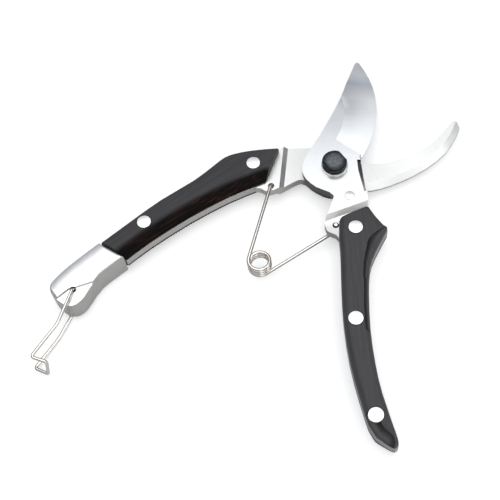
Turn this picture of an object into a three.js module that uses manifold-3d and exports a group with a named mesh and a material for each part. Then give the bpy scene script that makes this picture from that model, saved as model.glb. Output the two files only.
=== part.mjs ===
// Bypass pruning shears with wooden handle scales, lying open on their side.
// Millimetres, +Z up. The pivot turns about the Z axis, and z = 0 is the end face of the pivot bolt.
// Two joggled steel plates cross at the pivot: the hook plate below, the blade plate above.
import * as THREE from 'three';
import { mergeVertices } from 'three/addons/utils/BufferGeometryUtils.js';
import Module from 'manifold-3d';

const wasm = await Module();
wasm.setup();

// Driving dimensions. Heights are measured from the plane where the two plates slide on each other.
const slideHeight = 8;
const runningGap = 0.125;
const plateTop = 4;
const tangHalf = 2;
const scaleRim = 1.3;
const scaleTop = 7;
const stepStart = 22.8;
const stepRun = 2;
const stepLag = 1.7;
const boltRadius = 3.5;
const boltClearance = 0.05;
const boltTop = 8.5;
const boltBottom = -8;
const roundSides = 32;
const rivetSides = 16;
const rivetHeadRadius = 3.25;
const rivetHeadHeight = 1.8;
const rivetShankRadius = 2;
const rivetGap = 0.15;
const capHalf = 7;
const springWire = 0.8;
const springArmHeight = 3.1;
const coilRadius = 4.75;
const latchWire = 0.75;
const latchHoleRadius = 1.1;
const springHoleRadius = 1.5;
const stopPinRadius = 2;
const throughCut = [-20, 20];

// Places in plan. The outlines are drawn with their zero beside the pivot, and the group moves the pivot to
// the origin.
const pivotPlace = [0.2, 0.8];
const hookEarHole = [-29.2, -8.9];
const bladeTabHole = [1, -30.5];
const coilCentre = [-33, -49];
const latchHole = [-114.8, -65.6];
const stopPinPlace = [7.3, -15.9];
const hookRivets = { front: [-37.6, 0.8], rear: [-86.2, -31.2] };
const bladeRivets = { front: [9.9, -34.1], middle: [9.9, -79], rear: [17.8, -122] };

// Finishes.
const steelFinish = { color: 0xc6c9cb, roughness: 0.32, metalness: 1 };
const hookFinish = { color: 0xc9c6bd, roughness: 0.36, metalness: 1 };
const woodFinish = { color: 0x17120f, roughness: 0.42, metalness: 0 };
const rivetFinish = { color: 0xe4e5e6, roughness: 0.22, metalness: 1 };
const boltFinish = { color: 0x16171b, roughness: 0.45, metalness: 0.6 };
const castFinish = { color: 0xb9bcbf, roughness: 0.42, metalness: 1 };
const wireFinish = { color: 0xcfcac2, roughness: 0.28, metalness: 1 };

// Solids. A geometry becomes a manifold solid for cutting and joining, and comes back as a geometry.
function toSolid(geometry) {
  geometry.deleteAttribute('normal');
  geometry.deleteAttribute('uv');
  const merged = mergeVertices(geometry, 1e-4);
  const vertProperties = new Float32Array(merged.attributes.position.array);
  const triVerts = new Uint32Array(merged.index.array);
  return new wasm.Manifold(new wasm.Mesh({ numProp: 3, vertProperties, triVerts }));
}

function toGeometry(solid) {
  const result = solid.getMesh();
  const geometry = new THREE.BufferGeometry();
  geometry.setAttribute('position', new THREE.BufferAttribute(result.vertProperties, 3));
  geometry.setIndex(new THREE.BufferAttribute(result.triVerts, 1));
  geometry.computeVertexNormals();
  return geometry;
}

// An outline is a list of stretches joined by straight lines. A stretch of three or more points is a smooth
// curve.
function outline(stretches, perPoint = 2) {
  const points = [];
  for (const stretch of stretches) {
    const corners = stretch.map(([x, y]) => new THREE.Vector2(x, y));
    if (corners.length < 3) {
      points.push(...corners);
    } else {
      points.push(...new THREE.SplineCurve(corners).getPoints(perPoint * (corners.length - 1)));
    }
  }
  return new THREE.Shape(points);
}

function prism(shape, low, high) {
  const geometry = new THREE.ExtrudeGeometry(shape, { depth: high - low, bevelEnabled: false });
  geometry.translate(0, 0, low);
  return toSolid(geometry);
}

function cylinder([x, y], radius, low, high, sides = roundSides) {
  const geometry = new THREE.CylinderGeometry(radius, radius, high - low, sides);
  geometry.rotateX(Math.PI / 2);
  geometry.translate(x, y, (low + high) / 2);
  return toSolid(geometry);
}

// A turned piece stands on the Z axis at a place in plan. Its profile lists radius and height pairs.
function turned([x, y], profile, sides = roundSides) {
  const points = profile.map(([radius, height]) => new THREE.Vector2(radius, height));
  const geometry = new THREE.LatheGeometry(points, sides);
  geometry.rotateX(Math.PI / 2);
  geometry.translate(x, y, 0);
  return toSolid(geometry);
}

// A loft runs through rings of the same number of points and is closed by a flat fan at each end.
function loft(rings) {
  const count = rings[0].length;
  const positions = rings.flat(2);
  const index = [];
  for (let ring = 0; ring + 1 < rings.length; ring++) {
    for (let point = 0; point < count; point++) {
      const next = (point + 1) % count;
      const a = ring * count + point;
      const b = ring * count + next;
      index.push(a, b, b + count, a, b + count, a + count);
    }
  }
  const last = (rings.length - 1) * count;
  for (let point = 1; point + 1 < count; point++) {
    index.push(0, point + 1, point);
    index.push(last, last + point, last + point + 1);
  }
  const geometry = new THREE.BufferGeometry();
  geometry.setAttribute('position', new THREE.Float32BufferAttribute(positions, 3));
  geometry.setIndex(index);
  const solid = toSolid(geometry);
  return solid.volume() < 0 ? loft(rings.toReversed()) : solid;
}

function wire(points, radius, steps) {
  const centreline = new THREE.CatmullRomCurve3(points, false, 'centripetal');
  const section = new THREE.Shape();
  section.absarc(0, 0, radius, 0, 2 * Math.PI, true);
  const geometry = new THREE.ExtrudeGeometry(section, { steps, extrudePath: centreline, curveSegments: 4 });
  return toSolid(geometry);
}

// A stamped plate runs at one height near the pivot and steps to the tang's height further out.
// The direction points from the pivot towards the tang, and the top face starts to slope at stepStart.
function joggledBand(low, high, direction) {
  const reach = 200;
  const stepEnd = stepStart + stepRun;
  const lag = stepLag * Math.sign(tangHalf - high);
  const profile = new THREE.Shape([
    new THREE.Vector2(-reach, low),
    new THREE.Vector2(stepStart + lag, low),
    new THREE.Vector2(stepEnd + lag, -tangHalf),
    new THREE.Vector2(reach, -tangHalf),
    new THREE.Vector2(reach, tangHalf),
    new THREE.Vector2(stepEnd, tangHalf),
    new THREE.Vector2(stepStart, high),
    new THREE.Vector2(-reach, high),
  ]);
  const geometry = new THREE.ExtrudeGeometry(profile, { depth: 2 * reach, bevelEnabled: false });
  geometry.translate(0, 0, -reach);
  geometry.rotateX(Math.PI / 2);
  geometry.rotateZ(direction);
  return toSolid(geometry);
}

const group = new THREE.Group();
group.position.set(-pivotPlace[0], -pivotPlace[1], slideHeight);

function add(name, solid, finish) {
  const mesh = new THREE.Mesh(toGeometry(solid), new THREE.MeshStandardMaterial(finish));
  mesh.name = name;
  group.add(mesh);
}

// Hook plate: hook jaw to the right, round boss at the pivot, ear for the spring, and the left tang.
const hookHandleUpper = [
  [-32.4, 9.9], [-40, 9], [-47, 7.4], [-52, 5.1], [-57, 0.4], [-65.3, -7.5], [-80, -18.3], [-93, -29.8],
  [-105.6, -41.4],
];
const hookHandleLower = [[-93.2, -48.9], [-83.2, -39.7], [-66.5, -26.8], [-49.2, -15.8], [-37, -9.8]];
const capTongue = [[-103.7, -42.6], [-109.5, -50.5], [-104, -56.5], [-95.1, -47.8]];
const hookOuter = [
  [15.6, -9], [21.8, -7.7], [32.1, -3.4], [42.7, 3.1], [52.3, 12.2], [58.3, 22.8], [59.6, 26.4],
];
const hookInner = [
  [54.8, 27], [48.2, 18.3], [42.8, 13.2], [32.3, 7.2], [21.9, 4.3], [16.7, 4.4], [13.5, 6.2],
];
const hookBossRadius = 12.8;
const hookOutline = outline([
  hookOuter,
  [[58.6, 28.3], [56.8, 29]],
  hookInner,
  [[8, 11.5], [0, 13.9]],
  [[-24, 13.3], [-27, 10.6]],
  hookHandleUpper,
  capTongue.slice(0, 2),
  capTongue.slice(2),
  hookHandleLower,
  [
    [-36.8, -9.9], [-33.8, -10.4], [-31.4, -11.9], [-28.2, -11.4], [-24, -9], [-18.8, -5.7], [-15.6, -4.3],
    [-13, -5.4],
  ],
  [[-10.5, -8], [-5, -11.6], [0, -hookBossRadius], [5, -12.6], [8.6, -13]],
  [[10, -16.3], [12, -16], [14, -12.6]],
]);
const hookStepDirection = Math.PI * 0.982;
const hookBevelWidth = 2.6;
const hookBevelDrop = 3;

// The hook's outer edge is ground to a slope. The cutter follows the edge and stands outside it.
function hookBevelCutter() {
  const edge = new THREE.SplineCurve(hookOuter.map(([x, y]) => new THREE.Vector2(x, y)));
  const rings = [];
  const stations = 16;
  for (let station = -1; station <= stations + 1; station++) {
    const along = THREE.MathUtils.clamp(station / stations, 0, 1);
    const point = edge.getPointAt(along);
    const tangent = edge.getTangentAt(along);
    const overrun = 3 * (station < 0 ? -1 : station > stations ? 1 : 0);
    point.addScaledVector(tangent, overrun);
    const outward = new THREE.Vector2(tangent.y, -tangent.x);
    const inner = point.clone().addScaledVector(outward, -hookBevelWidth);
    const outer = point.clone().addScaledVector(outward, hookBevelWidth);
    rings.push([
      [inner.x, inner.y, 0],
      [outer.x, outer.y, -2 * hookBevelDrop],
      [outer.x, outer.y, 3],
      [inner.x, inner.y, 3],
    ]);
  }
  return loft(rings);
}

const boltHole = cylinder(pivotPlace, boltRadius + boltClearance, ...throughCut);
const [hookWireHole, bladeWireHole] = [hookEarHole, bladeTabHole].map(
  (place) => cylinder(place, springHoleRadius, ...throughCut, rivetSides),
);
const tangHoles = [...Object.values(hookRivets), ...Object.values(bladeRivets)].map(
  (place) => cylinder(place, rivetShankRadius + rivetGap, ...throughCut, rivetSides),
);
const latchHoleCut = cylinder(latchHole, latchHoleRadius, ...throughCut, rivetSides);
const stopPinHole = cylinder(stopPinPlace, stopPinRadius + rivetGap, ...throughCut, 24);

let hookPlate = prism(hookOutline, ...throughCut).intersect(joggledBand(-plateTop, 0, hookStepDirection));
hookPlate = hookPlate.subtract(hookBevelCutter()).subtract(boltHole).subtract(hookWireHole);
for (const hole of tangHoles) {
  hookPlate = hookPlate.subtract(hole);
}
add('hook_plate', hookPlate, hookFinish);

// Blade plate: curved cutting edge with a hollow-ground bevel, boss, tab for the spring, and the right tang.
const bladeEdge = [
  [12, 64.3], [16.7, 54.7], [19.5, 44.2], [20.2, 34], [19.3, 25.5], [16.6, 15.8], [13.6, 8.2],
];
const bladeTip = [[9.6, 63.8], [10.7, 65.1]];
const bladeSpine = [[7.4, 56.2], [5.2, 49.1], [2.7, 40], [-1.6, 29.7], [-6.8, 18.4], [-10.4, 11.8]];
const bladeBoss = [
  [-13, 6.5], [-14.6, 1.8], [-14.6, -2.6], [-12.7, -6.8], [-8, -11.1], [-2.1, -13.8], [0.1, -16.1],
];
const bladeHandleRight = [
  [24.2, -33], [18.8, -44.5], [16.2, -53], [15.6, -66], [16.1, -83], [18, -98.5], [20.7, -111.8],
  [26.2, -129.8],
];
const bladeHandleTip = [[26.8, -132.6], [25.2, -134.6], [21.1, -132.3], [17.7, -129.8]];
const bladeHandleLeft = [
  [14.7, -125], [10.9, -112.2], [7.2, -97], [4.6, -79], [3.6, -62], [3.1, -45], [2.5, -37.3],
];
const bladeOutline = outline([
  bladeEdge.toReversed(),
  [bladeTip[1], bladeTip[0]],
  bladeSpine,
  bladeBoss,
  [[-0.9, -19.5], [-2.3, -24.5]],
  [[-3.4, -26.8], [-4.1, -29.8], [-2.9, -33.2], [-1.2, -34.4], [1, -35.4], [2.4, -37.1]],
  bladeHandleLeft.toReversed(),
  bladeHandleTip.toReversed(),
  bladeHandleRight.toReversed(),
  [[22.7, -31.8], [20.1, -27.9], [17.2, -23.3], [15.7, -20]],
  [[15.2, -14], [14.1, -6.4], [13.2, -0.4], [12.6, 3.6]],
  [[11.9, 5], [11.9, 6.4], [12.9, 7.4]],
]);
const bladeStepDirection = THREE.MathUtils.degToRad(-67.5);

// The bevel falls from a line on the plate's face to the cutting edge, runs out past the tip, and ends at
// the heel.
function bladeBevelCutter() {
  const edge = [[10.5, 74], ...bladeEdge.slice(0, -1), [12.9, 6.4]];
  const crest = [[-3, 72], [-1, 62], [0.6, 50], [3.2, 41], [4.6, 31.5], [3.4, 22.8], [0.6, 15.7]];
  const [edgeCurve, crestCurve] = [edge, crest].map(
    (points) => new THREE.SplineCurve(points.map(([x, y]) => new THREE.Vector2(x, y))),
  );
  const edgeHeight = 0.5;
  const hollowDepth = 0.35;
  const [edgePast, lift] = [1.25, 2 * plateTop];
  const [stations, strips] = [24, 5];
  const rings = [];
  for (let station = 0; station <= stations; station++) {
    const low = edgeCurve.getPoint(station / stations);
    const high = crestCurve.getPoint(station / stations);
    const ring = [];
    for (let strip = 0; strip <= strips; strip++) {
      const across = strip / strips;
      const point = high.clone().lerp(low, across);
      const chord = THREE.MathUtils.lerp(plateTop, edgeHeight, across);
      ring.push([point.x, point.y, chord - hollowDepth * Math.sin(Math.PI * across)]);
    }
    const past = high.clone().lerp(low, edgePast);
    rings.push([...ring, [past.x, past.y, -0.4], [past.x, past.y, lift], [high.x, high.y, lift]]);
  }
  return loft(rings);
}

// Below the heel the plate's right wall leans outwards.
function bladeWallCutter() {
  return loft([
    [[10.6, 4, plateTop], [13.2, 4, 0], [18, 4, 0], [18, 4, 8], [10.6, 4, 8]],
    [[11.2, -2, plateTop], [13.5, -2, 0], [18, -2, 0], [18, -2, 8], [11.2, -2, 8]],
    [[13.9, -13.6, plateTop], [15.2, -13.6, 0], [18, -13.6, 0], [18, -13.6, 8], [13.9, -13.6, 8]],
  ]);
}

let bladePlate = prism(bladeOutline, ...throughCut);
bladePlate = bladePlate.intersect(joggledBand(runningGap, plateTop, bladeStepDirection));
bladePlate = bladePlate.subtract(bladeBevelCutter()).subtract(bladeWallCutter()).subtract(boltHole);
bladePlate = bladePlate.subtract(bladeWireHole).subtract(stopPinHole);
for (const hole of tangHoles) {
  bladePlate = bladePlate.subtract(hole);
}
add('blade_plate', bladePlate, steelFinish);

// Wooden scales: one above and one below each tang, crowned, with flat front ends and counterbored rivet
// holes.
const hookScaleOutline = outline([
  [[-18, 10.8]],
  hookHandleUpper,
  [[-122, -55.5], [-109, -63]],
  hookHandleLower,
  [[-30, -6.6], [-18, -1]],
]);
const hookScaleEnds = outline([
  [[-24.8, 14], [-32.9, -11]],
  [[-37, -16], [-90.6, -50.5]],
  [[-109, -39.2], [-60, 20]],
]);
const bladeScaleOutline = outline([
  [[2.6, -18]],
  bladeHandleLeft.toReversed(),
  [[17.6, -130.2], [28, -137]],
  bladeHandleRight.toReversed(),
  [[22.6, -32], [19.6, -28.2], [16.7, -23.7], [15.1, -20]],
  [[12, -14]],
]);
const bladeTipRound = outline([
  [[-10, -10], [-10, -122]],
  [[14.7, -125]],
  bladeHandleTip.toReversed(),
  [[26.2, -129.8]],
  [[40, -120], [40, -10]],
]);
const bladeScaleEnds = outline([[[-10, -35.3], [30, -15.7]], [[40, -150], [-10, -150]]]);
const tipSlopeStart = -125.2;

// The top and bottom of a scale pair are mirror images. The body is crowned by a rounded bevel on both faces.
function scaleBody(shape, ends, side) {
  const crown = scaleTop - tangHalf - scaleRim;
  const crownInset = 2.6;
  const geometry = new THREE.ExtrudeGeometry(shape, {
    depth: 2 * (tangHalf + scaleRim),
    bevelThickness: crown,
    bevelSize: crownInset,
    bevelOffset: -crownInset,
    bevelSegments: 5,
  });
  geometry.translate(0, 0, -tangHalf - scaleRim);
  const [cutLow, cutHigh] = throughCut;
  const half = side > 0 ? [tangHalf, cutHigh] : [cutLow, -tangHalf];
  return toSolid(geometry).intersect(prism(ends, ...half));
}

function rivetSeat(place, side) {
  const seatRadius = rivetHeadRadius + rivetGap;
  const seatFloor = scaleTop - rivetHeadHeight - rivetGap;
  const [cutLow, cutHigh] = throughCut;
  const head = side > 0 ? [seatFloor, cutHigh] : [cutLow, -seatFloor];
  const shank = cylinder(place, rivetShankRadius + rivetGap, ...throughCut, rivetSides);
  return cylinder(place, seatRadius, ...head, rivetSides).add(shank);
}

// Towards the end of the blade handle both scales slope down to the tang, which leaves room for the latch.
function tipSlopeCutter(side) {
  const profile = new THREE.Shape([
    new THREE.Vector2(tipSlopeStart, scaleTop),
    new THREE.Vector2(-128.5, 5.2),
    new THREE.Vector2(-134, 3.2),
    new THREE.Vector2(-140, 2.4),
    new THREE.Vector2(-140, 12),
    new THREE.Vector2(tipSlopeStart, 12),
  ]);
  const geometry = new THREE.ExtrudeGeometry(profile, { depth: 80, bevelEnabled: false });
  geometry.rotateX(Math.PI / 2);
  geometry.rotateZ(Math.PI / 2);
  geometry.translate(-20, 0, 0);
  const solid = toSolid(geometry);
  return side > 0 ? solid : solid.mirror([0, 0, 1]);
}

for (const [sideName, side] of [['top', 1], ['bottom', -1]]) {
  let hookScale = scaleBody(hookScaleOutline, hookScaleEnds, side);
  for (const place of Object.values(hookRivets)) {
    hookScale = hookScale.subtract(rivetSeat(place, side));
  }
  add(`hook_scale_${sideName}`, hookScale, woodFinish);
  let bladeScale = scaleBody(bladeScaleOutline, bladeScaleEnds, side);
  bladeScale = bladeScale.intersect(prism(bladeTipRound, ...throughCut)).subtract(tipSlopeCutter(side));
  for (const place of Object.values(bladeRivets)) {
    bladeScale = bladeScale.subtract(rivetSeat(place, side));
  }
  add(`blade_scale_${sideName}`, bladeScale, woodFinish);
}

// Each handle rivet is two pieces: a hollow half from above and a solid half whose pin presses into it.
const pinRadius = 1.1;
const hollowProfile = [
  [0, 4.9], [pinRadius + 0.1, 4.9], [pinRadius + 0.1, 0.15], [rivetShankRadius, 0.15],
  [rivetShankRadius, scaleTop - rivetHeadHeight], [rivetHeadRadius, scaleTop - rivetHeadHeight],
  [rivetHeadRadius, scaleTop], [0, scaleTop],
];
const pinProfile = [
  [0, -scaleTop], [rivetHeadRadius, -scaleTop], [rivetHeadRadius, rivetHeadHeight - scaleTop],
  [rivetShankRadius, rivetHeadHeight - scaleTop], [rivetShankRadius, -0.15], [pinRadius, -0.15],
  [pinRadius, 4.6], [0, 4.6],
];
for (const [handle, places] of [['hook', hookRivets], ['blade', bladeRivets]]) {
  for (const [position, place] of Object.entries(places)) {
    add(`${handle}_rivet_${position}_upper`, turned(place, hollowProfile, rivetSides), rivetFinish);
    add(`${handle}_rivet_${position}_lower`, turned(place, pinProfile, rivetSides), rivetFinish);
  }
}

// Cast end cap over the end of the hook handle's tang, with a recess around the latch hole on both faces.
const capOutline = outline([
  [
    [-105.9, -41.9], [-111.8, -47.4], [-119.4, -54.9], [-124.4, -61.2], [-125.6, -64.3], [-124.5, -67.5],
    [-121.5, -70.9],
  ],
  [
    [-118, -73.2], [-114.6, -73.7], [-111.5, -72], [-109.3, -69], [-107.2, -64.5], [-104.3, -59],
    [-98.9, -53.7], [-93.7, -49.1],
  ],
]);
const capRecess = outline([
  [[-113.4, -64.6], [-104, -61.2]],
  [[-105, -80], [-130, -80]],
  [[-124, -72.6], [-116.2, -65.2]],
]);
const capRecessFloor = 5.6;
const capRound = 1.6;
const capGeometry = new THREE.ExtrudeGeometry(capOutline, {
  depth: 2 * (capHalf - capRound),
  bevelThickness: capRound,
  bevelSize: capRound,
  bevelOffset: -capRound,
  bevelSegments: 4,
});
capGeometry.translate(0, 0, capRound - capHalf);
const capSlot = outline([[[-102, -39.6], [-110, -50.5]], [[-104, -57], [-92.7, -45.9]]]);
const slotHalf = tangHalf + 0.15;
const [cutLow, cutHigh] = throughCut;
let endCap = toSolid(capGeometry).subtract(prism(capSlot, -slotHalf, slotHalf)).subtract(latchHoleCut);
endCap = endCap.subtract(prism(capRecess, capRecessFloor, cutHigh));
endCap = endCap.subtract(prism(capRecess, cutLow, -capRecessFloor));
add('end_cap', endCap, castFinish);

// Wire latch: two legs from the hole, drawn together towards a square hook that catches the other handle's
// end.
function latchLeg(bend, end, catchEnd, side) {
  const hole = new THREE.Vector3(latchHole[0], latchHole[1], side * 6.7);
  const corner = new THREE.Vector3(bend[0], bend[1], side * 7.15);
  const foot = new THREE.Vector3(end[0], end[1], side * 5.6);
  const catchCorner = new THREE.Vector3(catchEnd[0], catchEnd[1], side * 5.4);
  return [
    new THREE.Vector3(hole.x, hole.y, side * 4.2),
    new THREE.Vector3(hole.x, hole.y, side * 5.8),
    hole.clone().lerp(corner, 0.07),
    hole.clone().lerp(corner, 0.9),
    corner.clone().lerp(foot, 0.1),
    corner.clone().lerp(foot, 0.92),
    foot.clone().lerp(catchCorner, 0.14),
    foot.clone().lerp(catchCorner, 0.85),
    new THREE.Vector3(catchEnd[0], catchEnd[1], side * 4.2),
  ];
}
const upperLeg = latchLeg([-119, -83], [-128.9, -98], [-121.6, -100.2], 1);
const lowerLeg = latchLeg([-121.8, -83.5], [-130.2, -98.6], [-123.6, -101.2], -1);
add('latch_wire', wire([...upperLeg, ...lowerLeg.toReversed()], latchWire, 64), wireFinish);

// Torsion spring, made as two halves that meet inside the coil: one turns with each arm.
function springHalf(hole, leavingAngle, side) {
  const turnDirection = side > 0 ? 1 : -1;
  const points = [
    new THREE.Vector3(hole[0], hole[1], -2.6 * side),
    new THREE.Vector3(hole[0], hole[1], 2.2 * side),
  ];
  const tangentPoint = new THREE.Vector2(
    coilCentre[0] + coilRadius * Math.cos(leavingAngle),
    coilCentre[1] + coilRadius * Math.sin(leavingAngle),
  );
  const arm = tangentPoint.clone().sub(new THREE.Vector2(...hole));
  for (const along of [0.04, 0.35, 0.7, 0.95]) {
    points.push(new THREE.Vector3(hole[0] + arm.x * along, hole[1] + arm.y * along, springArmHeight * side));
  }
  const steps = 14;
  for (let step = 1; step <= steps; step++) {
    const angle = leavingAngle + turnDirection * 2 * Math.PI * (step / steps);
    const height = springArmHeight - 2 * (step / steps);
    points.push(new THREE.Vector3(
      coilCentre[0] + coilRadius * Math.cos(angle),
      coilCentre[1] + coilRadius * Math.sin(angle),
      height * side,
    ));
  }
  return wire(points, springWire, 60);
}

// The angle on the coil where a straight arm from a hole leaves it, on the outside of the bend.
function armAngle(hole, side) {
  const toHole = new THREE.Vector2(hole[0] - coilCentre[0], hole[1] - coilCentre[1]);
  return toHole.angle() + side * Math.acos(coilRadius / toHole.length());
}
add('spring_hook_arm', springHalf(hookEarHole, armAngle(hookEarHole, 1), 1), wireFinish);
add('spring_blade_arm', springHalf(bladeTabHole, armAngle(bladeTabHole, -1), -1), wireFinish);

// Stop pin in the blade plate: its lower end meets a lug on the hook plate when the shears are open.
add('stop_pin', turned(stopPinPlace, [
  [0, -3.5], [1.6, -3.5], [stopPinRadius, -3.1], [stopPinRadius, plateTop], [2.45, plateTop], [2.3, 4.4],
  [0, 4.5],
], 24), rivetFinish);

// Pivot: bolt from above with two flats on its head, washer under the head, and a nut on a washer below.
const headRadius = 5.75;
const flatsAcross = 10;
const flatsDirection = THREE.MathUtils.degToRad(38);
const headUnderside = 4.75;
const flangeTop = 5.6;
const washerRadius = 6.2;
const nutTop = -4.75;
const nutBottom = -7.5;
const nutCorner = 6.3;
const looseBore = boltRadius + 0.2;

const slab = new THREE.BoxGeometry(flatsAcross, 40, boltTop - flangeTop);
slab.rotateZ(flatsDirection);
slab.translate(...pivotPlace, (boltTop + flangeTop) / 2);
const roundHead = turned(pivotPlace, [
  [0, flangeTop], [headRadius, flangeTop], [headRadius, boltTop - 0.8], [headRadius - 1.2, boltTop],
  [0, boltTop],
]);
const boltShank = turned(pivotPlace, [
  [0, boltBottom], [boltRadius - 0.5, boltBottom], [boltRadius, boltBottom + 0.5],
  [boltRadius, headUnderside], [headRadius, headUnderside], [headRadius, flangeTop], [0, flangeTop],
]);
add('pivot_bolt', boltShank.add(roundHead.intersect(toSolid(slab))), boltFinish);

function washer(low, high) {
  return turned(pivotPlace, [
    [looseBore, low], [washerRadius, low], [washerRadius, high], [looseBore, high], [looseBore, low],
  ]);
}
add('pivot_head_washer', washer(plateTop, headUnderside), steelFinish);
add('pivot_nut_washer', washer(nutTop, -plateTop), steelFinish);

const hexagon = cylinder(pivotPlace, nutCorner, nutBottom, nutTop, 6);
add('pivot_nut', hexagon.subtract(cylinder(pivotPlace, looseBore, ...throughCut)), boltFinish);

export default group;
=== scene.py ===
"""Bypass pruning shears, open on a pale table: plates, wooden scales, rivets, cap, latch, spring, pivot."""
import math

import bpy
from mathutils import Euler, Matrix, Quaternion, Vector
from mathutils.kdtree import KDTree


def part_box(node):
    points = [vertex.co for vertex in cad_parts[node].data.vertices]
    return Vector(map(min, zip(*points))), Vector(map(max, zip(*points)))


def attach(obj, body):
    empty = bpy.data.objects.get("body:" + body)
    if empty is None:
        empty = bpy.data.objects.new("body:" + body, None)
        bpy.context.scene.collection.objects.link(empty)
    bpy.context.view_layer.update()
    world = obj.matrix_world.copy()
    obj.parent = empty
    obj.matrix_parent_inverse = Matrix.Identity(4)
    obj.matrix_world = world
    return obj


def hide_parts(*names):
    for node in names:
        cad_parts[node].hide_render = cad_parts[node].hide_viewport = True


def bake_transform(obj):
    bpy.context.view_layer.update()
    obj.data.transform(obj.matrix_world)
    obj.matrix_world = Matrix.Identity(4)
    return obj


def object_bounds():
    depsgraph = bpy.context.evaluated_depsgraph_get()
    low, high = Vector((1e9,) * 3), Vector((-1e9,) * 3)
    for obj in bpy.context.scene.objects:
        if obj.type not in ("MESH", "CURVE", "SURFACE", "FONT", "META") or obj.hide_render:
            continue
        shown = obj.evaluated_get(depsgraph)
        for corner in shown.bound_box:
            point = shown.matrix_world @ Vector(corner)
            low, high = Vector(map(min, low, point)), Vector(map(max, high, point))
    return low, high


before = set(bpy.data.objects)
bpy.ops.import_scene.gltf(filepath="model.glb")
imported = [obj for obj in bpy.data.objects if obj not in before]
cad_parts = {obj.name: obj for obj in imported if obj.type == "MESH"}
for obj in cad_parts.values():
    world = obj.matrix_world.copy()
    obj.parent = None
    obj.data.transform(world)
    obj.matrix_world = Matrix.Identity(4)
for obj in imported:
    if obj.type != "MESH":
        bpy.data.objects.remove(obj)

cad_low, cad_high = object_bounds()
scene = bpy.context.scene

# The table and the light. The shears lie on a pale table, so bright that the camera sees it as white, under
# one large soft light. Two smaller lights stand low, in front and to the right, and low down the room is dim.
table_top = cad_low.z - 0.0003
table_reach = 3.0

bpy.ops.object.select_all(action="DESELECT")
bpy.ops.mesh.primitive_plane_add(size=table_reach, location=(0, 0, table_top))
table = bpy.context.object
table.name = "table"
bpy.ops.object.transform_apply(location=True)


def plain_material(name, colour, roughness, metallic=0.0):
    """A new material with its Principled shader's own sockets set, and that shader to link more to."""
    material = bpy.data.materials.new(name)
    material.use_nodes = True
    shader = material.node_tree.nodes["Principled BSDF"]
    shader.inputs["Base Color"].default_value = (*colour, 1)
    shader.inputs["Roughness"].default_value = roughness
    shader.inputs["Metallic"].default_value = metallic
    return material, shader


table_white, table_shader = plain_material("table_white", (0.62, 0.62, 0.62), 0.9)
table_shader.inputs["Emission Color"].default_value = (1, 1, 1, 1)
table_tree = table_white.node_tree
seen = table_tree.nodes.new("ShaderNodeLightPath")
glow = table_tree.nodes.new("ShaderNodeMath")
glow.operation = "MULTIPLY"
glow.inputs[1].default_value = 0.5
table_tree.links.new(seen.outputs["Is Camera Ray"], glow.inputs[0])
table_tree.links.new(glow.outputs[0], table_shader.inputs["Emission Strength"])
table.data.materials.append(table_white)


def soft_light(name, place, aim, size, power):
    """A square area light at a place, facing an aim."""
    lamp = bpy.data.lights.new(name, "AREA")
    lamp.shape = "SQUARE"
    lamp.size = size
    lamp.energy = power
    holder = bpy.data.objects.new(name, lamp)
    scene.collection.objects.link(holder)
    holder.location = place
    holder.rotation_euler = (Vector(aim) - Vector(place)).to_track_quat("-Z", "Y").to_euler()


soft_light("light_above", (-0.05, -0.03, 1.0), (-0.05, -0.03, 0), 1.29, 8.2)
soft_light("light_near", (0.38, -1.0, 0.5), (0, 0, 0), 0.5, 2.0)
soft_light("light_right", (1.0, -0.28, 0.4), (0, 0, 0), 0.5, 2.4)

room = bpy.data.worlds.new("pale_room")
room.use_nodes = True
room_tree = room.node_tree
outlook = room_tree.nodes.new("ShaderNodeTexCoord")
height = room_tree.nodes.new("ShaderNodeSeparateXYZ")
dusk = room_tree.nodes.new("ShaderNodeValToRGB")
dusk.color_ramp.elements[0].position = 0.15
dusk.color_ramp.elements[0].color = (0.06, 0.06, 0.065, 1)
dusk.color_ramp.elements[1].position = 0.8
dusk.color_ramp.elements[1].color = (0.5, 0.52, 0.55, 1)
room_tree.links.new(outlook.outputs["Generated"], height.inputs[0])
room_tree.links.new(height.outputs["Z"], dusk.inputs["Fac"])
room_tree.links.new(dusk.outputs["Color"], room_tree.nodes["Background"].inputs["Color"])
scene.world = room
scene.view_settings.view_transform = "Standard"

# The camera looks down at the shears from the near side, turned a little so that the blade points up.
view_elevation = math.radians(60)
view_azimuth = math.radians(11.51)
view_roll = math.radians(-10)
view_distance = 0.452
view_lens = 72
slide_height = 0.008
looked_at = Vector((-0.0378, -0.043, slide_height))

bpy.ops.object.camera_add()
camera = bpy.context.object
camera.name = "camera"
camera.data.lens = view_lens
camera.data.sensor_width = 36
tilt = Euler((math.pi / 2 - view_elevation, 0, view_azimuth)).to_quaternion()
turn = tilt @ Quaternion((0, 0, 1), view_roll)
camera.rotation_euler = turn.to_euler()
camera.location = looked_at + turn @ Vector((0, 0, view_distance))
scene.camera = camera

# The two plates are stamped from steel sheet, joggled, and ground. They are the frame's own shapes, with the
# cut edges broken a little, as tumbling leaves them. Cut walls are left grey, a grey that is partly painted
# shade;
# painted shade darkens them further near the pivot, and the blade's walls take a darker grey still, also
# painted shade. The cutting bevel and the hook's outer slope have a finish of their own. The flats and the
# blade bevel carry painted shade graded along Y or out from the pivot, and the bevel a painted blue-grey
# reflection.
edge_break = 0.00016
jaws_start = -0.012
joggle_start = -0.019
wall_limit = 0.6
flat_limit = 0.996


def only(piece):
    """Leaves object mode's selection on one piece."""
    bpy.ops.object.select_all(action="DESELECT")
    piece.select_set(True)
    bpy.context.view_layer.objects.active = piece


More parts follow.
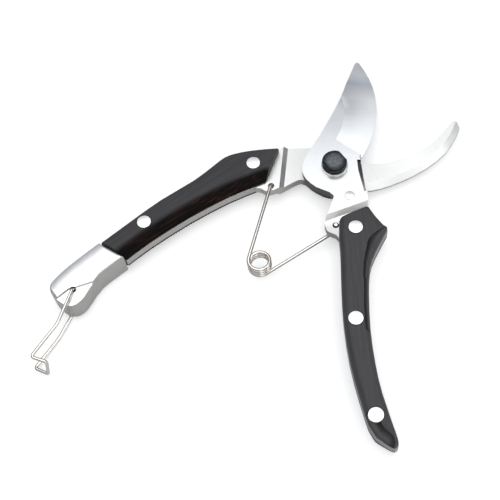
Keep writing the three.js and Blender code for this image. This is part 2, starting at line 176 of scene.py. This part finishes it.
def merged_copy(node, name):
    """A copy of a frame node, with its loose triangles merged and its flat faces made whole."""
    piece = bpy.data.objects.new(name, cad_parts[node].data.copy())
    scene.collection.objects.link(piece)
    piece.data.materials.clear()
    only(piece)
    bpy.ops.object.mode_set(mode="EDIT")
    bpy.ops.mesh.select_all(action="SELECT")
    bpy.ops.mesh.remove_doubles(threshold=2e-6)
    bpy.ops.mesh.dissolve_degenerate(threshold=2e-6)
    bpy.ops.mesh.dissolve_limited(angle_limit=math.radians(0.4))
    bpy.ops.object.mode_set(mode="OBJECT")
    return piece


def modify(piece, kind, **settings):
    """Adds one modifier, sets it and applies it."""
    only(piece)
    modifier = piece.modifiers.new(kind.lower(), kind)
    for name, value in settings.items():
        setattr(modifier, name, value)
    bpy.ops.object.modifier_apply(modifier=modifier.name)


def ground_steel(name, colour, roughness, line_turn, line_depth, line_width=0.00035, cloud_size=0.011,
                 cloud_depth=0.06):
    """Satin steel with fine grind lines that run at an angle about Z, and soft clouds in its tone."""
    material, shader = plain_material(name, colour, roughness, 1.0)
    tree = material.node_tree
    place = tree.nodes.new("ShaderNodeTexCoord")
    lines_map = tree.nodes.new("ShaderNodeMapping")
    lines_map.vector_type = "TEXTURE"
    lines_map.inputs["Rotation"].default_value = (0, 0, line_turn)
    lines_map.inputs["Scale"].default_value = (0.02, line_width, 0.01)
    lines = tree.nodes.new("ShaderNodeTexNoise")
    lines.inputs["Scale"].default_value = 1
    lines.inputs["Detail"].default_value = 2
    clouds = tree.nodes.new("ShaderNodeTexNoise")
    clouds.inputs["Scale"].default_value = 1 / cloud_size
    clouds.inputs["Detail"].default_value = 4
    cloudy = tree.nodes.new("ShaderNodeMixRGB")
    cloudy.inputs["Color1"].default_value = (*[c * (1 - cloud_depth) for c in colour], 1)
    cloudy.inputs["Color2"].default_value = (*[min(c * (1 + cloud_depth), 1) for c in colour], 1)
    scratches = tree.nodes.new("ShaderNodeMapRange")
    scratches.inputs["From Min"].default_value = 0.3
    scratches.inputs["From Max"].default_value = 0.7
    scratches.inputs["To Min"].default_value = 1 - 0.12 * line_depth
    scratches.inputs["To Max"].default_value = 1
    tone = tree.nodes.new("ShaderNodeMixRGB")
    tone.blend_type = "MULTIPLY"
    tone.inputs["Fac"].default_value = 1
    dullness = tree.nodes.new("ShaderNodeMapRange")
    dullness.inputs["To Min"].default_value = roughness - 0.07
    dullness.inputs["To Max"].default_value = roughness + 0.09
    bump = tree.nodes.new("ShaderNodeBump")
    bump.inputs["Strength"].default_value = line_depth
    bump.inputs["Distance"].default_value = 0.00003
    link = tree.links.new
    link(place.outputs["Object"], lines_map.inputs["Vector"])
    link(lines_map.outputs["Vector"], lines.inputs["Vector"])
    link(place.outputs["Object"], clouds.inputs["Vector"])
    link(clouds.outputs["Fac"], cloudy.inputs["Fac"])
    link(lines.outputs["Fac"], scratches.inputs["Value"])
    link(cloudy.outputs["Color"], tone.inputs["Color1"])
    link(scratches.outputs["Result"], tone.inputs["Color2"])
    link(lines.outputs["Fac"], dullness.inputs["Value"])
    link(lines.outputs["Fac"], bump.inputs["Height"])
    link(tone.outputs["Color"], shader.inputs["Base Color"])
    link(dullness.outputs["Result"], shader.inputs["Roughness"])
    link(bump.outputs["Normal"], shader.inputs["Normal"])
    return material


def faded(material, measure, stops):
    """Paints light and shade into a finish: multiplies it by tones that change with a distance, along Y or
    from the pivot.
    """
    tree = material.node_tree
    shader = tree.nodes["Principled BSDF"]
    tone = shader.inputs["Base Color"].links[0].from_socket
    place = tree.nodes.new("ShaderNodeTexCoord")
    reach = tree.nodes.new("ShaderNodeMapRange")
    low, high = stops[0][0], stops[-1][0]
    reach.inputs["From Min"].default_value = low
    reach.inputs["From Max"].default_value = high
    link = tree.links.new
    if measure == "from pivot":
        plan = tree.nodes.new("ShaderNodeVectorMath")
        plan.operation = "MULTIPLY"
        plan.inputs[1].default_value = (1, 1, 0)
        distance = tree.nodes.new("ShaderNodeVectorMath")
        distance.operation = "LENGTH"
        link(place.outputs["Object"], plan.inputs[0])
        link(plan.outputs[0], distance.inputs[0])
        link(distance.outputs["Value"], reach.inputs["Value"])
    else:
        axes = tree.nodes.new("ShaderNodeSeparateXYZ")
        link(place.outputs["Object"], axes.inputs[0])
        link(axes.outputs["Y"], reach.inputs["Value"])
    ramp = tree.nodes.new("ShaderNodeValToRGB")
    ramp.color_ramp.elements[0].color = (*stops[0][1], 1)
    ramp.color_ramp.elements[1].color = (*stops[-1][1], 1)
    for distance_there, colour in stops[1:-1]:
        ramp.color_ramp.elements.new((distance_there - low) / (high - low)).color = (*colour, 1)
    product = tree.nodes.new("ShaderNodeMixRGB")
    product.blend_type = "MULTIPLY"
    product.inputs["Fac"].default_value = 1
    link(reach.outputs["Result"], ramp.inputs["Fac"])
    link(tone, product.inputs["Color1"])
    link(ramp.outputs["Color"], product.inputs["Color2"])
    link(product.outputs["Color"], shader.inputs["Base Color"])


def stamped_plate(node, name, body, flat, slope, wall):
    """A plate of the frame with its edges broken. Slopes and cut walls take their own finishes, some with
    painted shade.
    """
    plate = merged_copy(node, name)
    modify(plate, "BEVEL", width=edge_break, segments=2, limit_method="ANGLE", angle_limit=math.radians(38),
           use_clamp_overlap=True, harden_normals=False)
    bpy.ops.object.shade_smooth_by_angle(angle=math.radians(11))
    for finish in [flat, slope, wall, pressed_steel]:
        plate.data.materials.append(finish)
    for polygon in plate.data.polygons:
        leaning = wall_limit <= polygon.normal.z < flat_limit
        if abs(polygon.normal.z) < wall_limit:
            polygon.material_index = 2
        elif leaning and polygon.center.x > 0 and polygon.center.y > jaws_start:
            polygon.material_index = 1
        # Painted shade: the joggle slope, picked out by its lean, takes the darker pressed finish.
        elif leaning and polygon.center.y < joggle_start:
            polygon.material_index = 3
    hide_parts(node)
    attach(plate, body)


blade_flat = ground_steel("blade_flat", (0.90, 0.91, 0.92), 0.30, math.radians(8), 0.2)
# Painted shade: the blade's flats darken towards the tang and its tab, and towards the tip.
faded(blade_flat, "along Y", [(-0.036, (0.60, 0.59, 0.57)), (-0.029, (0.72, 0.71, 0.69)), (-0.024, (1, 1, 1)),
                              (0.005, (1, 1, 1)), (0.020, (0.86, 0.87, 0.88)), (0.05, (0.74, 0.75, 0.76))])
blade_bevel = ground_steel("blade_bevel", (0.97, 0.98, 0.99), 0.34, math.radians(8), 0.55)
# Painted shade near the heel, and a painted blue-grey reflection in a band near the tip.
faded(blade_bevel, "along Y", [(0.003, (0.80, 0.80, 0.78)), (0.012, (0.88, 0.89, 0.89)), (0.028, (1, 1, 1)),
                               (0.041, (1, 1, 1)), (0.050, (0.70, 0.74, 0.78)), (0.056, (1, 1, 1))])
# The joggle slope is pressed, rougher and duller; its darker colour is partly painted shade.
pressed_steel = ground_steel("pressed_steel", (0.72, 0.71, 0.68), 0.55, math.radians(22), 0.5)
pressed_steel.node_tree.nodes["Principled BSDF"].inputs["Metallic"].default_value = 0.35
# Painted shade on the cut walls: darker near the pivot, where the plates and the bolt overlap.
wall_shade_near_pivot = [(0.010, (0.1, 0.1, 0.11)), (0.0132, (0.14, 0.14, 0.15)), (0.0175, (0.8, 0.8, 0.78)),
             (0.028, (1, 1, 1))]
cut_edge = ground_steel("cut_edge", (0.60, 0.59, 0.56), 0.45, math.radians(90), 0.4)
faded(cut_edge, "from pivot", wall_shade_near_pivot)
# The blade's cut walls take a darker copy of the cut-wall grey, as painted shade.
dark_edge = ground_steel("dark_edge", (0.38, 0.375, 0.36), 0.5, math.radians(90), 0.4)
dark_edge.node_tree.nodes["Principled BSDF"].inputs["Metallic"].default_value = 0.5
faded(dark_edge, "from pivot", wall_shade_near_pivot)
hook_flat = ground_steel("hook_flat", (0.97, 0.96, 0.93), 0.38, math.radians(112), 0.45)
# Painted shade: the hook's flats darken near the pivot, beside the bolt and the blade plate.
faded(hook_flat, "from pivot", [(0.018, (0.84, 0.84, 0.84)), (0.036, (1, 1, 1)), (0.06, (1, 1, 1))])
hook_slope = ground_steel("hook_slope", (0.99, 0.99, 0.97), 0.5, math.radians(112), 0.4)
stamped_plate("blade_plate", "blade", "blade_handle", blade_flat, blade_bevel, dark_edge)
stamped_plate("hook_plate", "hook", "hook_handle", hook_flat, hook_slope, cut_edge)

# Wooden scales. Each is a dyed hardwood slab, shaped by hand on a belt, so every edge is soft. The hook
# handle's lower flank is planed to a broad slope, where the red heart of the wood shows through the dye, and
# painted shade darkens it. The blade handle has a finger scoop beside its flare and another at its tip, each
# darkened by painted shade in its steep part.
scale_voxel = 0.0003
scale_smoothing = 4
last_smoothing = 2
wood_black = (0.058, 0.057, 0.059)
# Painted shade: the planed flank and the steep parts of the scoops are darkened towards this colour.
wood_flank_shade = (0.004, 0.0035, 0.0035)


def black_wood(name, grain_turn, gloss, redness):
    """Near-black wood with grain along a handle, with painted shade where it is planed, and redder there by a
    share.
    """
    material, shader = plain_material(name, wood_black, 0.42)
    shader.inputs["Specular IOR Level"].default_value = gloss
    tree = material.node_tree
    place = tree.nodes.new("ShaderNodeTexCoord")
    grain_map = tree.nodes.new("ShaderNodeMapping")
    grain_map.vector_type = "TEXTURE"
    grain_map.inputs["Rotation"].default_value = (0, 0, grain_turn)
    grain_map.inputs["Scale"].default_value = (0.02, 0.0009, 0.0009)
    grain = tree.nodes.new("ShaderNodeTexNoise")
    grain.inputs["Scale"].default_value = 1
    grain.inputs["Detail"].default_value = 5
    grain.inputs["Roughness"].default_value = 0.6
    pores = tree.nodes.new("ShaderNodeMapRange")
    pores.inputs["From Min"].default_value = 0.3
    pores.inputs["From Max"].default_value = 0.7
    pores.inputs["To Min"].default_value = 0.8
    pores.inputs["To Max"].default_value = 1.12
    shade_and_heart_layer = tree.nodes.new("ShaderNodeAttribute")
    shade_and_heart_layer.attribute_name = "flank_shade_and_heart"
    dye_and_shade = tree.nodes.new("ShaderNodeMixRGB")
    dye_and_shade.inputs["Color1"].default_value = (*wood_black, 1)
    dye_and_shade.inputs["Color2"].default_value = (*wood_flank_shade, 1)
    toned = tree.nodes.new("ShaderNodeMixRGB")
    toned.blend_type = "MULTIPLY"
    toned.inputs["Fac"].default_value = 1
    streaks = tree.nodes.new("ShaderNodeValToRGB")
    streaks.color_ramp.elements[0].position = 0.52
    streaks.color_ramp.elements[0].color = (0, 0, 0, 1)
    streaks.color_ramp.elements[1].position = 0.74
    streaks.color_ramp.elements[1].color = (0.05, 0.014, 0.008, 1)
    red_part = tree.nodes.new("ShaderNodeMath")
    red_part.operation = "MULTIPLY"
    red_part.inputs[1].default_value = redness
    red_heart = tree.nodes.new("ShaderNodeMixRGB")
    red_heart.blend_type = "ADD"
    dullness = tree.nodes.new("ShaderNodeMapRange")
    dullness.inputs["To Min"].default_value = 0.36
    dullness.inputs["To Max"].default_value = 0.52
    bump = tree.nodes.new("ShaderNodeBump")
    bump.inputs["Strength"].default_value = 0.3
    bump.inputs["Distance"].default_value = 0.00004
    link = tree.links.new
    link(place.outputs["Object"], grain_map.inputs["Vector"])
    link(grain_map.outputs["Vector"], grain.inputs["Vector"])
    link(grain.outputs["Fac"], pores.inputs["Value"])
    link(shade_and_heart_layer.outputs["Fac"], dye_and_shade.inputs["Fac"])
    link(dye_and_shade.outputs["Color"], toned.inputs["Color1"])
    link(pores.outputs["Result"], toned.inputs["Color2"])
    link(grain.outputs["Fac"], streaks.inputs["Fac"])
    link(shade_and_heart_layer.outputs["Fac"], red_part.inputs[0])
    link(red_part.outputs[0], red_heart.inputs["Fac"])
    link(toned.outputs["Color"], red_heart.inputs["Color1"])
    link(streaks.outputs["Color"], red_heart.inputs["Color2"])
    link(grain.outputs["Fac"], dullness.inputs["Value"])
    link(grain.outputs["Fac"], bump.inputs["Height"])
    link(red_heart.outputs["Color"], shader.inputs["Base Color"])
    link(dullness.outputs["Result"], shader.inputs["Roughness"])
    link(bump.outputs["Normal"], shader.inputs["Normal"])
    return material


def softened(node, name, voxel, smoothing):
    """A copy of a frame node, remeshed in small cubes and smoothed, so that all its edges turn round."""
    piece = merged_copy(node, name)
    modify(piece, "REMESH", mode="VOXEL", voxel_size=voxel)
    modify(piece, "SMOOTH", factor=0.5, iterations=smoothing)
    bpy.ops.object.shade_smooth()
    return piece


rivet_seats = [sum(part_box(node), Vector()) / 2 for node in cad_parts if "rivet" in node]
seat_clearance = 0.0039
back_height = 0.004
flank_likeness = 0.9
edge_shares = 8


def near_flank(piece, node, flank, reach_at):
    """The vertices of a piece within reach of its edge on one flank, each with its share of that reach."""
    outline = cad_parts[node].data
    points = []
    for polygon in outline.polygons:
        corners = [outline.vertices[index].co for index in polygon.vertices]
        in_seat = any((polygon.center - seat).xy.length < seat_clearance for seat in rivet_seats)
        at_back = max(abs(corner.z - slide_height) for corner in corners) > back_height
        if polygon.normal.dot(flank) > flank_likeness and at_back and not in_seat:
            for start, end in zip(corners, corners[1:] + corners[:1]):
                points += [start.lerp(end, share / edge_shares) for share in range(edge_shares)]
    edge = KDTree(len(points))
    for index, point in enumerate(points):
        edge.insert((point.x, point.y, 0), index)
    edge.balance()
    near = []
    for vertex in piece.data.vertices:
        share = edge.find((vertex.co.x, vertex.co.y, 0))[2] / reach_at(vertex.co.y)
        if share < 1:
            near.append((vertex, share))
    return near


def lower(vertex, most):
    """Brings a vertex to within a height of the plane where the plates slide, on its own side of it."""
    height = vertex.co.z - slide_height
    vertex.co.z = slide_height + math.copysign(min(abs(height), most), height)


def between(value, stops):
    """Straight interpolation in a list of place and value pairs."""
    for (low, low_value), (high, high_value) in zip(stops, stops[1:]):
        if value <= high:
            share = max(0, (value - low) / (high - low))
            return low_value + (high_value - low_value) * share
    return stops[-1][1]


scale_crown = 0.007
hook_flank = Vector((0.55, -0.835, 0))
hook_flank_reach = 0.0055
hook_rim = 0.0027
hook_shade = 1.6
hook_wood = black_wood("hook_wood", math.radians(38), 0.05, 1)
for end in ["top", "bottom"]:
    scale = softened(f"hook_scale_{end}", f"hook_wood_{end}", scale_voxel, scale_smoothing)
    flank_shade_and_heart = scale.data.attributes.new("flank_shade_and_heart", "FLOAT", "POINT")
    for vertex, share in near_flank(scale, f"hook_scale_{end}", hook_flank, lambda y: hook_flank_reach):
        lower(vertex, hook_rim + (scale_crown - hook_rim) * math.sin(math.pi / 2 * share))
        # The layer holds painted shade on the planed flank, and on the hook the share of red heart.
        flank_shade_and_heart.data[vertex.index].value = min(1, hook_shade * (1 - share ** 2))
    modify(scale, "SMOOTH", factor=0.5, iterations=last_smoothing)
    scale.data.materials.append(hook_wood)
    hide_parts(f"hook_scale_{end}")
    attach(scale, "hook_handle")

flare_flank = Vector((0.93, -0.36, 0))
flare_reaches = [(-0.060, 0.0021), (-0.050, 0.0026), (-0.045, 0.0034), (-0.0425, 0.0040),
                 (-0.0405, 0.0041), (-0.0385, 0.0033), (-0.0365, 0.0019), (-0.0345, 0.0004)]
tip_flank = Vector((-0.62, -0.78, 0))
tip_reach = 0.0042
scoop_slope = 0.36
scoop_floor_share = 0.42
blade_wood = black_wood("blade_wood", math.radians(-84), 0.15, 0)
for end in ["top", "bottom"]:
    scale = softened(f"blade_scale_{end}", f"blade_wood_{end}", scale_voxel, scale_smoothing)
    flank_shade_and_heart = scale.data.attributes.new("flank_shade_and_heart", "FLOAT", "POINT")
    for flank, reach_at in [(flare_flank, lambda y: between(y, flare_reaches)),
                            (tip_flank, lambda y: tip_reach)]:
        for vertex, share in near_flank(scale, f"blade_scale_{end}", flank, reach_at):
            rise = max(0, (share - scoop_floor_share) / (1 - scoop_floor_share))
            lower(vertex, scale_crown - scoop_slope * reach_at(vertex.co.y) * (1 - rise ** 1.5))
            # Painted shade in the scoop's steep part.
            flank_shade_and_heart.data[vertex.index].value = rise ** 0.6
    modify(scale, "SMOOTH", factor=0.5, iterations=last_smoothing)
    scale.data.materials.append(blade_wood)
    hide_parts(f"blade_scale_{end}")
    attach(scale, "blade_handle")

# Compression rivets: a hollow half from above takes the pin of the half below, and both heads are sanded
# flush with the wood.
rivet_metal = ground_steel("rivet_metal", (0.95, 0.95, 0.95), 0.4, math.radians(35), 0.25)
rivet_sides = 48
rivet_head = 0.0018
rivet_shank = 0.002
pin_gap = 0.00015


def rivet_half(name, node, shank_end, side):
    """A rivet head with its shank, on the axis of a frame node. Side is 1 for the upper half and -1 below."""
    low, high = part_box(node)
    axis = (low + high) / 2
    head_radius = (high.x - low.x) / 2
    face = high.z if side > 0 else low.z
    bpy.ops.object.select_all(action="DESELECT")
    bpy.ops.mesh.primitive_cylinder_add(vertices=rivet_sides, radius=head_radius, depth=rivet_head,
                                        location=(axis.x, axis.y, face - side * rivet_head / 2))
    rivet = bpy.context.object
    rivet.name = name
    bpy.ops.object.transform_apply(location=True)
    bpy.ops.object.mode_set(mode="EDIT")
    bpy.ops.mesh.select_mode(type="FACE")
    bpy.ops.mesh.select_all(action="DESELECT")
    bpy.ops.object.mode_set(mode="OBJECT")
    for polygon in rivet.data.polygons:
        polygon.select = polygon.normal.z * side < -0.9
    bpy.ops.object.mode_set(mode="EDIT")
    bpy.ops.mesh.inset(thickness=head_radius - rivet_shank)
    drop = shank_end - (face - side * rivet_head)
    bpy.ops.mesh.extrude_region_move(TRANSFORM_OT_translate={"value": (0, 0, drop)})
    bpy.ops.object.mode_set(mode="OBJECT")
    modify(rivet, "BEVEL", width=0.00018, segments=3, limit_method="ANGLE")
    bpy.ops.object.shade_smooth_by_angle(angle=math.radians(35))
    return rivet


for handle, places in [("hook", ["front", "rear"]), ("blade", ["front", "middle", "rear"])]:
    for place in places:
        for half, side in [("upper", 1), ("lower", -1)]:
            node = f"{handle}_rivet_{place}_{half}"
            rivet = rivet_half(f"{node}_turned", node, slide_height + side * pin_gap, side)
            rivet.data.materials.append(rivet_metal)
            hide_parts(node)
            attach(rivet, f"{handle}_handle")

# The end cap is cast in white metal, so its edges are round and its faces a little cloudy. Its upright sides
# carry painted shade: a duller, browner colour than the sanded faces.
cap_metal = ground_steel("cap_metal", (0.89, 0.895, 0.90), 0.36, math.radians(38), 0.3, 0.0012, 0.005, 0.09)


def painted_side_shade(material, colour):
    """Paints shade onto a finish: multiplies it by a duller colour where a face stands upright."""
    tree = material.node_tree
    shader = tree.nodes["Principled BSDF"]
    tone = shader.inputs["Base Color"].links[0].from_socket
    place = tree.nodes.new("ShaderNodeTexCoord")
    axes = tree.nodes.new("ShaderNodeSeparateXYZ")
    upright = tree.nodes.new("ShaderNodeMath")
    upright.operation = "ABSOLUTE"
    ramp = tree.nodes.new("ShaderNodeValToRGB")
    ramp.color_ramp.elements[0].position = 0.3
    ramp.color_ramp.elements[0].color = (*colour, 1)
    ramp.color_ramp.elements[1].position = 0.75
    ramp.color_ramp.elements[1].color = (1, 1, 1, 1)
    product = tree.nodes.new("ShaderNodeMixRGB")
    product.blend_type = "MULTIPLY"
    product.inputs["Fac"].default_value = 1
    link = tree.links.new
    link(place.outputs["Normal"], axes.inputs[0])
    link(axes.outputs["Z"], upright.inputs[0])
    link(upright.outputs[0], ramp.inputs["Fac"])
    link(tone, product.inputs["Color1"])
    link(ramp.outputs["Color"], product.inputs["Color2"])
    link(product.outputs["Color"], shader.inputs["Base Color"])


# Painted shade on the cap's upright sides.
painted_side_shade(cap_metal, (0.62, 0.61, 0.58))
cap_flank = Vector((-0.67, 0.74, 0))
cap_voxel = 0.00028
cap_smoothing = 4
cap_round_reach = 0.0055
cap_round_drop = 0.0007
cap = softened("end_cap", "cast_cap", cap_voxel, cap_smoothing)
for vertex, share in near_flank(cap, "end_cap", cap_flank, lambda y: cap_round_reach):
    lower(vertex, scale_crown - cap_round_drop * (1 - share) ** 2)
modify(cap, "SMOOTH", factor=0.5, iterations=last_smoothing)
cap.data.materials.append(cap_metal)
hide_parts("end_cap")
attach(cap, "hook_handle")

# The wire latch is bent cold from spring wire. Its two ends stand in the cap's hole, its legs draw together,
# and a square hook at their feet catches the end of the other handle.
wire_metal = ground_steel("wire_metal", (0.74, 0.70, 0.65), 0.24, 0, 0.1)
latch_wire_radius = 0.00075
bend_step = 9


def bent_wire(name, corners, bends, wire_radius):
    """A round wire through corner points, each rounded to its bend radius, as a closed mesh."""
    points = [corners[0]]
    for before, corner, after, bend in zip(corners, corners[1:], corners[2:], bends):
        inward = (before - corner).normalized()
        outward = (after - corner).normalized()
        half_angle = inward.angle(outward) / 2
        run = bend / math.tan(half_angle)
        centre = corner + (inward + outward).normalized() * (bend / math.sin(half_angle))
        start = (corner + inward * run - centre).normalized()
        end = (corner + outward * run - centre).normalized()
        steps = max(3, round(math.degrees(math.pi - 2 * half_angle) / bend_step))
        points += [centre + start.slerp(end, step / steps) * bend for step in range(steps + 1)]
    points.append(corners[-1])
    return swept_wire(name, points, wire_radius)


def swept_wire(name, points, wire_radius):
    """A round wire through many points, with flat closed ends."""
    curve = bpy.data.curves.new(name, "CURVE")
    curve.dimensions = "3D"
    spline = curve.splines.new("POLY")
    spline.points.add(len(points) - 1)
    for point, place in zip(spline.points, points):
        point.co = (*place, 1)
    curve.bevel_depth = wire_radius
    curve.bevel_resolution = 4
    curve.use_fill_caps = True
    wire = bpy.data.objects.new(name, curve)
    scene.collection.objects.link(wire)
    only(wire)
    bpy.ops.object.convert(target="MESH")
    wire = bpy.context.object
    bpy.ops.object.mode_set(mode="EDIT")
    bpy.ops.mesh.select_all(action="SELECT")
    bpy.ops.mesh.remove_doubles(threshold=1e-6)
    bpy.ops.mesh.normals_make_consistent(inside=False)
    bpy.ops.object.mode_set(mode="OBJECT")
    bpy.ops.object.shade_smooth_by_angle(angle=math.radians(50))
    return wire


def above_slide(x, y, height):
    """A point in millimetres, with its height measured from the plane where the plates slide."""
    return Vector((x / 1000, y / 1000, slide_height + height / 1000))


latch_corners = [
    above_slide(-115.0, -66.4, 4.2), above_slide(-115.0, -66.4, 6.75), above_slide(-119.2, -83.8, 7.15),
    above_slide(-129.1, -98.8, 5.6), above_slide(-121.8, -101.0, 5.4),
    above_slide(-123.8, -102.0, -5.4), above_slide(-130.2, -99.4, -5.6), above_slide(-122.0, -84.3, -7.15),
    above_slide(-115.0, -66.4, -6.75), above_slide(-115.0, -66.4, -4.2),
]
latch_bends = [0.0011, 0.012, 0.0012, 0.0011, 0.0011, 0.0012, 0.012, 0.0011]
latch = bent_wire("bent_latch", latch_corners, latch_bends, latch_wire_radius)
latch.data.materials.append(wire_metal)
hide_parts("latch_wire")
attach(latch, "latch")

# The torsion spring is one wire. Its coil winds up as the handles close, and each arm hooks through a hole in
# its own plate.
spring_wire_radius = 0.0008
arm_height = 3.1
arm_hook_depth = 2.6
arm_bend = 0.0013
hook_ear_hole = (-29.4, -9.7)
blade_tab_hole = (0.8, -31.3)
coil_centre = Vector((-33.2, -49.8))
coil_radius = 4.75
hook_arm_angle = math.radians(167.8)
blade_arm_angle = math.radians(-54.4)
coil_turns = (360 * 3 + math.degrees(blade_arm_angle - hook_arm_angle) + 360) / 360
coil_steps = 36


def on_coil(angle, height):
    """A point of the coil at an angle about its axis."""
    reach = Vector((math.cos(angle), math.sin(angle))) * coil_radius
    return above_slide(*(coil_centre + reach), height)


def spring_arm(name, hole, angle, side, body, node):
    """An arm of the spring, from its hooked end in a plate's hole to where it joins the coil."""
    height = side * arm_height
    corners = [above_slide(*hole, -side * arm_hook_depth), above_slide(*hole, height), on_coil(angle, height)]
    arm = bent_wire(name, corners, [arm_bend], spring_wire_radius)
    arm.data.materials.append(wire_metal)
    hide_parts(node)
    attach(arm, body)


spring_arm("spring_arm_of_hook", hook_ear_hole, hook_arm_angle, 1, "spring_hook_side", "spring_hook_arm")
spring_arm("spring_arm_of_blade", blade_tab_hole, blade_arm_angle, -1, "spring_blade_side",
           "spring_blade_arm")
coil_points = []
for step in range(round(coil_turns * coil_steps) + 1):
    share = step / round(coil_turns * coil_steps)
    angle = hook_arm_angle + share * coil_turns * 2 * math.pi
    coil_points.append(on_coil(angle, arm_height * (1 - 2 * share)))
coil = swept_wire("spring_coil", coil_points, spring_wire_radius)
coil.data.materials.append(wire_metal)
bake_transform(coil)

# The pivot: a blackened bolt with two flats on its head and a flange under them, on a turned washer, held by
# a nut on a washer below. The stop pin is a low steel button riveted in the blade plate beside it.
bolt_metal = ground_steel("bolt_metal", (0.12, 0.13, 0.145), 0.46, math.radians(20), 0.5, 0.0006, 0.0014,
                          0.6)
# Painted highlight on the middle of the bolt's head, and painted shade towards its rim and on the nut.
faded(bolt_metal, "from pivot", [(0, (1.3, 1.3, 1.3)), (0.0032, (1, 1, 1)), (0.0044, (0.4, 0.4, 0.4)),
                                 (0.0058, (0.2, 0.2, 0.2))])
washer_metal = ground_steel("washer_metal", (0.55, 0.55, 0.53), 0.3, 0, 0.3)
head_radius = 0.00575
head_top = slide_height + 0.0085
flange_top = slide_height + 0.0056
flange_bottom = slide_height + 0.00475
shank_radius = 0.0035
washer_play = 0.0002
flats_apart = 0.010
flats_turn = math.radians(38)
round_sides = 96


def drum(name, radius, low, high, sides):
    """A closed cylinder about the pivot between two heights."""
    bpy.ops.object.select_all(action="DESELECT")
    bpy.ops.mesh.primitive_cylinder_add(vertices=sides, radius=radius, depth=high - low,
                                        location=(0, 0, (low + high) / 2))
    piece = bpy.context.object
    piece.name = name
    bpy.ops.object.transform_apply(location=True)
    return piece


head = drum("bolt_head", head_radius, flange_top - 0.0002, head_top, round_sides)
across = Vector((math.cos(flats_turn), math.sin(flats_turn), 0))
for side in [1, -1]:
    bpy.ops.object.mode_set(mode="EDIT")
    bpy.ops.mesh.select_all(action="SELECT")
    bpy.ops.mesh.bisect(plane_co=across * side * flats_apart / 2, plane_no=across * side, use_fill=True,
                        clear_outer=True)
    bpy.ops.object.mode_set(mode="OBJECT")
modify(head, "BEVEL", width=0.0009, segments=4, limit_method="ANGLE", angle_limit=math.radians(60))
flange = drum("bolt_flange", head_radius, flange_bottom, flange_top, round_sides)
modify(flange, "BEVEL", width=0.00025, segments=2, limit_method="ANGLE", angle_limit=math.radians(60))
shank = drum("bolt_shank", shank_radius, 0, flange_bottom + 0.0002, 48)
modify(shank, "BEVEL", width=0.0005, segments=2, limit_method="ANGLE", angle_limit=math.radians(60))
bpy.ops.object.select_all(action="DESELECT")
for piece in [flange, shank, head]:
    piece.select_set(True)
bpy.context.view_layer.objects.active = head
bpy.ops.object.join()
head.name = "turned_bolt"
bpy.ops.object.shade_smooth_by_angle(angle=math.radians(30))
head.data.materials.append(bolt_metal)
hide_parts("pivot_bolt")
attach(head, "hook_handle")


def turned_washer(name, node, metal):
    """A washer about the pivot: a drum with a bore through it and softly turned edges."""
    low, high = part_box(node)
    radius = (high.x - low.x) / 2
    ring = drum(name, radius, low.z, high.z, round_sides)
    bpy.ops.object.mode_set(mode="EDIT")
    bpy.ops.mesh.select_mode(type="FACE")
    bpy.ops.mesh.select_all(action="DESELECT")
    bpy.ops.object.mode_set(mode="OBJECT")
    for polygon in ring.data.polygons:
        polygon.select = abs(polygon.normal.z) > 0.9
    bpy.ops.object.mode_set(mode="EDIT")
    bpy.ops.mesh.inset(thickness=radius - shank_radius - washer_play)
    bpy.ops.mesh.bridge_edge_loops()
    bpy.ops.object.mode_set(mode="OBJECT")
    modify(ring, "BEVEL", width=0.00015, segments=2, limit_method="ANGLE", angle_limit=math.radians(60))
    bpy.ops.object.shade_smooth_by_angle(angle=math.radians(30))
    ring.data.materials.append(metal)
    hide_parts(node)
    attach(ring, "hook_handle")


turned_washer("head_washer", "pivot_head_washer", washer_metal)
turned_washer("nut_washer", "pivot_nut_washer", washer_metal)
nut = merged_copy("pivot_nut", "chamfered_nut")
modify(nut, "BEVEL", width=0.0004, segments=3, limit_method="ANGLE", angle_limit=math.radians(40))
bpy.ops.object.shade_smooth_by_angle(angle=math.radians(30))
nut.data.materials.append(bolt_metal)
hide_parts("pivot_nut")
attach(nut, "hook_handle")

stop = merged_copy("stop_pin", "stop_button")
modify(stop, "BEVEL", width=0.00012, segments=2, limit_method="ANGLE", angle_limit=math.radians(30))
bpy.ops.object.shade_smooth_by_angle(angle=math.radians(30))
stop.data.materials.append(rivet_metal)
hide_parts("stop_pin")
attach(stop, "blade_handle")
